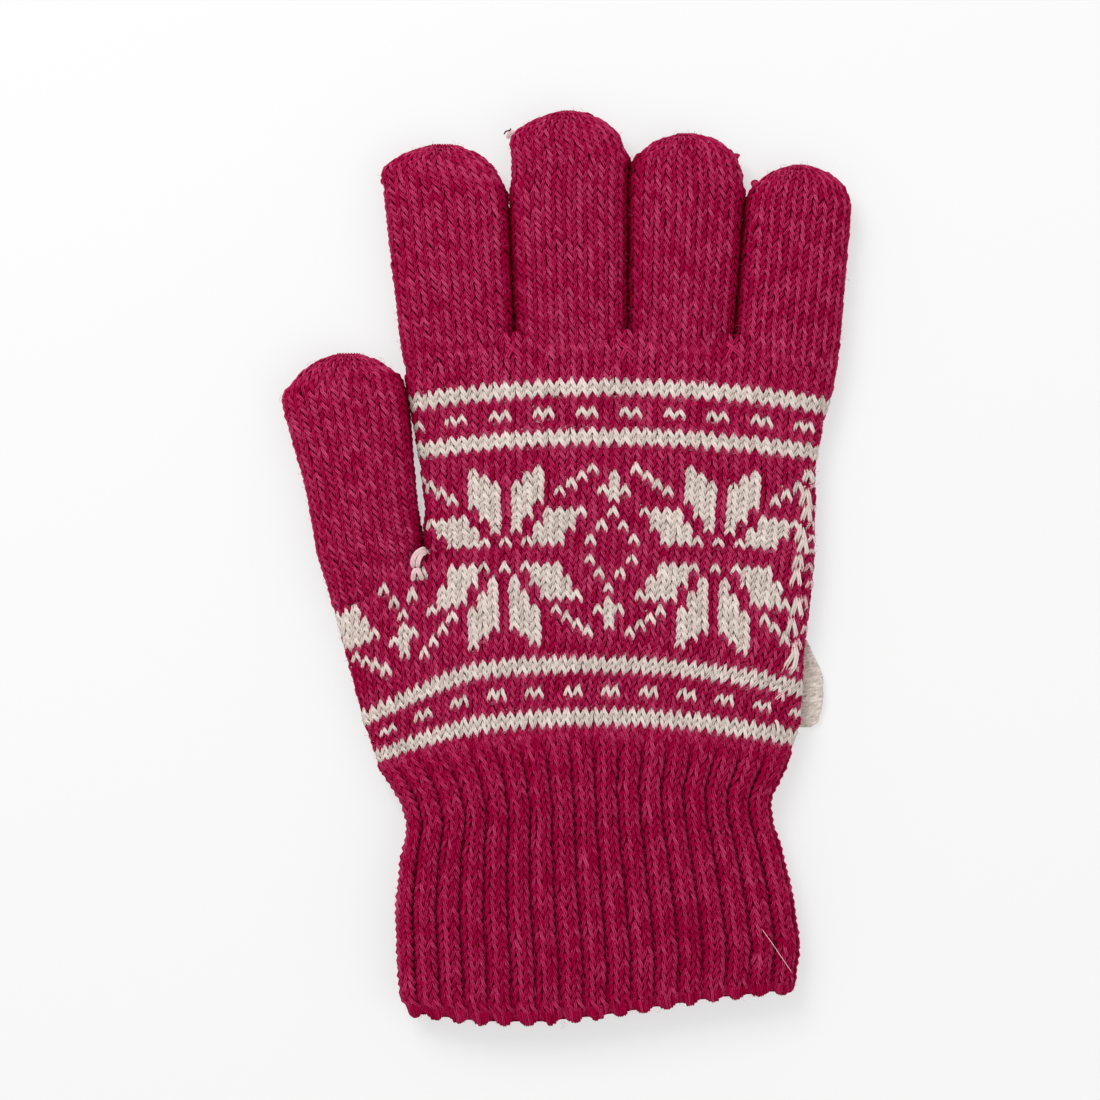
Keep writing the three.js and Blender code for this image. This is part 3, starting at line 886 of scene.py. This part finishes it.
def hem_wraps(seed=610):
    """Yarn wrapped over the cuff's end, slanting from the outside to the inside."""
    local = np.random.default_rng(seed)
    count, rings = CUFF_RIBS * HEM_WRAPS_PER_RIB, 12
    start = (np.arange(count) * WALES_PER_RIB / HEM_WRAPS_PER_RIB)[:, None]
    start = start + local.normal(0, 0.07, (count, 1))
    t = np.linspace(0, 1, rings)[None]
    wale = start + (0.5 + local.normal(0, 0.12, (count, 1))) * t
    wander = local.normal(0, 0.035, (count, 1))
    course, height = hem_fold(wale, t, 0.35 + local.normal(0, 0.06, (count, 1)), wander)
    centres, normals = cuff_grid.place(wale, course, height)
    away = unit(-np.gradient(np.gradient(centres, axis=1), axis=1))
    normals = unit(away + 0.3 * normals)
    wide = np.full((count, rings), 0.34) * (1 + local.normal(0, 0.1, (count, 1)))
    vertices = sweep(centres, normals, wide, wide * 0.85, YARN_SECTION)
    # a random tone per wrap, with painted highlight on the strands and painted shade in the furrow, at
    # the sides and below
    tone = local.normal(-0.2, 0.45, (count, 1, 1)) + YARN_PAINTED_SHADE + np.zeros((count, rings, 1))
    return vertices.reshape(-1, 3), tube_faces(count, rings, len(YARN_SECTION)), tone.ravel()


hem_parts = [hem_cloth(), hem_wraps(), fibres(cuff_grid, 29.5, 31.2, 260, 612)]
hem = make_object("cuff_overlock_hem_stitches", hem_parts, DEEP_CRIMSON)
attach(hem, "cuff")
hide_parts("cuff_overlock_hem")

# ---- Little-finger edge ----
EDGE_WALE, TUCK_WALE = 27.9, 28.9


def build_edge(name, grid, courses, talls, tuck_courses, seed):
    """A column of tall white tie-off loops, with small slanting tucks beside it."""
    local = np.random.default_rng(seed)
    courses, talls = np.array(courses), np.array(talls)
    loops = stitches(grid, EDGE_WALE + local.normal(0, 0.15, len(courses)), courses - 0.5,
                     WALE_PITCH, seed, lift=0.85, tall=talls, bulk=1.5)
    tucks = np.array(tuck_courses, float) + local.normal(0, 0.2, len(tuck_courses))
    small = stitches(grid, TUCK_WALE + local.normal(0, 0.3, len(tucks)), tucks - 0.5, WALE_PITCH,
                     seed + 5, lift=0.6, tall=1.0 + local.uniform(-0.2, 0.3, len(tucks)), bulk=1.1)
    thing = make_object(f"{name}_tucks", [small], PALE)
    bend(thing, HAND_BLEND, "off_white_yarn")
    thing = make_object(f"{name}_loops", [loops], WHITE)
    bend(thing, HAND_BLEND, "off_white_yarn")
    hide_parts(name)


build_edge("side_float_column_upper", upper_grid, [12.2, 9.4, 7.5, 4.2, 2.2],
           [1.3, 1.8, 1.9, 2.2, 2.2], [13.6, 10.8, 8.4, 5.8, 3.2, 0.8], 701)
build_edge("side_float_column_lower", lower_grid, [-0.8, -2.9, -6.6, -9.0, -12.4],
           [2.0, 1.9, 1.6, 1.8, 2.3], [-1.4, -4.0, -6.4, -9.0, -11.2, -13.6, -17.6], 702)

# ---- Crotch stitches, thumb loop and tip knots ----
HAND_TOP = HAND_HIGH - 0.35
for name in CROTCH_JOINS:
    low, high = box_mm(name)
    x_low, x_high, y_low, y_high = low[0] + 0.6, high[0] - 0.4, low[1] + 0.4, high[1] - 0.4
    route = [(x_low - 0.3, y_high, HAND_TOP - 1.0), (x_low + 0.7, y_high - 0.5, HAND_TOP + 0.1),
             ((x_low + x_high) / 2, (y_low + y_high) / 2 + 0.2, HAND_TOP + 0.25),
             (x_high - 0.5, y_low + 0.8, HAND_TOP + 0.1), (x_high + 0.1, y_low - 0.4, HAND_TOP - 1.0)]
    route = np.array(route)
    centre = np.array([(x_low + x_high) / 2, (y_low + y_high) / 2, 0])
    steep = (route - centre) * (-0.45, 1.15, 1) + centre + (-0.9, -0.5, 0.05)
    thing = make_object(f"{name}_stitch", [follow(at, 0.46) for at in (steep, route)], CRIMSON)
    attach(thing, "palm")
    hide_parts(name)

loop_routes = [
    [(-32.5, 4.6, 9.4), (-33.4, 4.3, 10.4), (-34.5, 3.5, 11.0), (-35.3, 1.9, 11.0),
     (-35.3, 0.1, 10.4)],
    [(-32.3, 3.8, 9.6), (-33.4, 3.2, 10.6), (-34.1, 1.7, 10.9), (-34.3, 0.2, 10.4)],
    [(-34.5, 0.1, 10.6), (-35.1, -1.0, 11.0), (-35.4, -2.9, 10.0)],
    [(-34.5, 0.2, 10.6), (-33.8, -1.0, 11.0), (-33.1, -2.7, 10.0)],
]
thing = make_object("thumb_crotch_white_loop", [follow(route, 0.5) for route in loop_routes], PALE)
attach(thing, "palm")
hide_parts("thumb_crotch_loop")


def knot_parts(centre, inward, seed):
    """A small tangle of yarn: three turns round the point where the tip was drawn closed."""
    local = np.random.default_rng(seed)
    parts = []
    t = np.linspace(0, 2 * np.pi, 9)
    for turn in range(3):
        tilt = local.uniform(0, np.pi)
        radius = 0.62 + local.uniform(-0.1, 0.15)
        ring = np.stack([np.cos(t), np.sin(t) * np.cos(tilt), np.sin(t) * np.sin(tilt)], -1) * radius
        ring += centre + inward * (0.9 + 0.35 * turn)
        parts.append(follow(ring, 0.3, step=0.25))
    return parts


def tip_closing(grid, last):
    """Yarn drawn across the end of a digit's last course."""
    ring = grid.points[int((last - grid.courses[0]) * grid.per_course)]
    count, parts = len(ring), []
    for share in np.linspace(0.07, 0.43, 8):
        over, under = ring[int(share * count)], ring[int((1 - share) * count) % count]
        middle = (over + under) / 2 + (0, 0.55, 0)
        route = [over + (0, -0.9, 0.1), over, middle, under, under + (0, -0.9, -0.1)]
        parts.append(follow(route, 0.5, facing=(0, 1, 0), tone=-0.4))
    return parts


for order, name in enumerate(DIGITS):
    strands = tip_closing(digit_grids[name], DIGITS[name][1])
    thing = make_object(f"{name}_tip_closing_yarn", strands, CRIMSON)
    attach(thing, f"{name}_end")
    low, high = box_mm(f"{name}_tip_knot")
    tube_low, tube_high = box_mm(f"{name}_distal")
    centre = (low + high) / 2
    inward = np.array([(tube_low[0] + tube_high[0]) / 2, tube_high[1] - 12, centre[2]]) - centre
    inward /= np.linalg.norm(inward)
    thing = make_object(f"{name}_tip_knot_yarn", knot_parts(centre, inward, 800 + order), CRIMSON)
    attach(thing, f"{name}_end")
    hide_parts(f"{name}_tip_knot")

low, high = box_mm("middle_tip_knot")
knot = (low + high) / 2
end_route = knot + np.array([(0.6, -0.1, 1.0), (-0.3, 0.2, 1.2), (-1.2, -0.3, 0.8), (-1.3, -1.3, 0.3)])
thing = make_object("middle_tip_white_end", [follow(end_route, 0.36)], PALE)
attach(thing, "middle_end")
end_route = knot + np.array([(-0.6, 1.2, 0.9), (-0.9, 0.6, 1.3), (-1.8, 0.4, 1.0), (-2.3, -0.3, 0.3)])
thing = make_object("middle_tip_dark_thread", [follow(end_route, 0.14)], DARK_THREAD)
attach(thing, "middle_end")

stray = [(44.2, -82.0, 12.0), (46.6, -85.3, 12.6), (48.9, -88.7, 12.7), (51.2, -92.1, 12.0)]
thing = make_object("cuff_stray_fibre", [follow(stray, 0.045, tone=2.5)], PALE)
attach(thing, "cuff")
strand = [(47.6, -34.6, 9.6), (48.0, -35.4, 10.6), (48.2, -37.0, 10.7), (48.0, -38.4, 9.8)]
thing = make_object("side_white_strand", [follow(strand, 0.3)], WHITE)
bend(thing, HAND_BLEND, "off_white_yarn")

# ---- Floats inside the hand and elastic in the cuff ----
FLOAT_DEPTH, ELASTIC_DEPTH = 1.55, 2.8  # below the knit's middle line and below the ribs


def laid_in(grid, wale, course, height, profile):
    """Threads laid round the inside of a tube, one to a row of wales."""
    centres, normals = grid.place(wale, course, height)
    wide = np.full(wale.shape, 0.3)
    vertices = sweep(centres, normals, wide, wide, profile)
    return vertices.reshape(-1, 3), tube_faces(len(wale), wale.shape[1], len(profile)), 0.0


def build_floats(name, grid, first, last, seed):
    local = np.random.default_rng(seed)
    courses = np.arange(first + 0.5, last)
    wale = np.linspace(0, grid.wales, grid.wales)[None] + np.zeros((len(courses), 1))
    course = courses[:, None] + local.normal(0, 0.22, wale.shape)
    height = -FLOAT_DEPTH + local.normal(0, 0.1, wale.shape)
    thing = make_object(f"{name}_threads", [laid_in(grid, wale, course, height, FIBRE_SECTION)],
                        WHITE)
    bend(thing, HAND_BLEND, "off_white_yarn")
    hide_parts(name)


build_floats("jacquard_floats_lower", lower_grid, -24, 0, 901)
build_floats("jacquard_floats_upper", upper_grid, 0, 24, 902)

for number in range(1, 6):
    name = f"cuff_elastic_{number}"
    low, high = box_mm(name)
    middle_y = (low[1] + high[1]) / 2
    rows = cuff_grid.points[:, :, 1].mean(1)
    course = float(np.interp(-middle_y, -rows, cuff_grid.courses))
    wale = np.linspace(0, cuff_grid.wales, cuff_grid.wales * 2)[None]
    wobble = 0.12 * np.sin(wale * 2 * np.pi / WALES_PER_RIB)
    height = -rib_height(wale) - ELASTIC_DEPTH
    thread = laid_in(cuff_grid, wale, course + wobble, height, YARN_SECTION)
    thing = make_object(f"{name}_thread", [thread], RUBBER)
    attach(thing, "cuff")
    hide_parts(name)

# ---- Side label ----
LABEL_EDGE = [(-36.9, 56.6), (-35.8, 58.2), (-33, 59.0), (-29.5, 59.4), (-26, 59.4), (-23, 58.6),
              (-19.5, 57.0), (-16.6, 55.6)]
LABEL_TUCK, LABEL_THICK = 2.6, 0.7


def build_label():
    local = np.random.default_rng(950)
    along, across = 60, 12
    y = np.linspace(LABEL_EDGE[0][0], LABEL_EDGE[-1][0], along)
    outer = np.interp(y, [p[0] for p in LABEL_EDGE], [p[1] for p in LABEL_EDGE])
    outer = outer + np.convolve(local.normal(0, 0.12, along + 4), np.ones(5) / 5, "valid")
    inner = hand_low.at(y, 1) - LABEL_TUCK
    u = np.linspace(0, 1, across)[None]
    x = inner[:, None] + (outer - inner)[:, None] * u
    lift = 0.75 + 0.35 * np.sin((y[:, None] + 30) * 0.35 + u * 1.4) + 0.5 * u
    rim = 1 - 0.75 * np.maximum(np.abs(u * 2 - 1), np.abs(np.linspace(-1, 1, along))[:, None]) ** 12
    rough = local.normal(0, 0.03, x.shape)
    rows = y[:, None] + 0 * u
    top = np.stack([x, rows, lift + LABEL_THICK / 2 * rim + rough], -1)
    bottom = np.stack([x, rows, lift - LABEL_THICK / 2 * rim], -1)
    bottom[..., 2] = np.maximum(bottom[..., 2], 0.05)
    vertices = np.concatenate([top.reshape(-1, 3), bottom.reshape(-1, 3)])
    index = np.arange(along * across).reshape(along, across)
    upper = np.stack([index[:-1, :-1], index[:-1, 1:], index[1:, 1:], index[1:, :-1]], -1)
    upper = upper.reshape(-1, 4)
    lower = upper[:, ::-1] + along * across
    border = np.concatenate([index[0], index[1:, -1], index[-1, -2::-1], index[-2:0:-1, 0]])
    after = np.roll(border, -1)
    sides = np.stack([border, border + along * across, after + along * across, after], -1)
    speckle = local.normal(0, 0.7, len(vertices))
    part = (vertices, np.vstack([upper, lower, sides]), speckle)
    thing = make_object("side_label_felt", [part], FELT)
    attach(thing, "palm")
    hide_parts("side_label")


build_label()

# ---- Floor, light and camera ----
FLOOR_REACH, FLOOR_DROP = 3.0, 0.0003  # metres
floor_mesh = bpy.data.meshes.new("floor")
floor_corners = [(x * FLOOR_REACH, y * FLOOR_REACH, 0) for x, y in ((-1, -1), (1, -1), (1, 1), (-1, 1))]
floor_mesh.from_pydata(floor_corners, [], [(0, 1, 2, 3)])
floor = bpy.data.objects.new("floor", floor_mesh)
floor.location.z = -FLOOR_DROP
bpy.context.scene.collection.objects.link(floor)
floor_material = bpy.data.materials.new("floor")
floor_material.use_nodes = True
floor_shader = floor_material.node_tree.nodes["Principled BSDF"]
floor_shader.inputs["Base Color"].default_value = (0.3, 0.3, 0.3, 1)
floor_shader.inputs["Emission Color"].default_value = (1, 1, 1, 1)
floor_shader.inputs["Emission Strength"].default_value = 0.53
floor_shader.inputs["Roughness"].default_value = 0.9
floor_mesh.materials.append(floor_material)

bpy.context.scene.view_settings.view_transform = "Standard"
world = bpy.data.worlds.new("studio")
bpy.context.scene.world = world
world.use_nodes = True
world.node_tree.nodes["Background"].inputs["Color"].default_value = (1, 1, 1, 1)
world.node_tree.nodes["Background"].inputs["Strength"].default_value = 0.77


def soft_box(name, place, size, power):
    """A square light that points at the origin."""
    light = bpy.data.lights.new(name, "AREA")
    light.shape, light.size, light.energy = "SQUARE", size, power
    lamp = bpy.data.objects.new(name, light)
    lamp.location = place
    lamp.rotation_mode = "QUATERNION"
    lamp.rotation_quaternion = (-Vector(place)).to_track_quat("-Z", "Y")
    bpy.context.scene.collection.objects.link(lamp)


soft_box("key", (-0.35, 0.55, 0.75), 0.5, 6.7)
soft_box("fill", (0.6, -0.3, 0.7), 0.8, 1.9)

camera_data = bpy.data.cameras.new("camera")
camera_data.lens, camera_data.sensor_width = 85, 36
camera = bpy.data.objects.new("camera", camera_data)
VIEW_CENTRE, VIEW_WIDTH = (-3.99, 4.27), 251.46  # mm, on the glove's upper face
distance = VIEW_WIDTH / 2 / math.tan(camera_data.angle / 2) + HAND_HIGH
camera.location = (VIEW_CENTRE[0] * MM, VIEW_CENTRE[1] * MM, distance * MM)
bpy.context.scene.collection.objects.link(camera)
bpy.context.scene.camera = camera
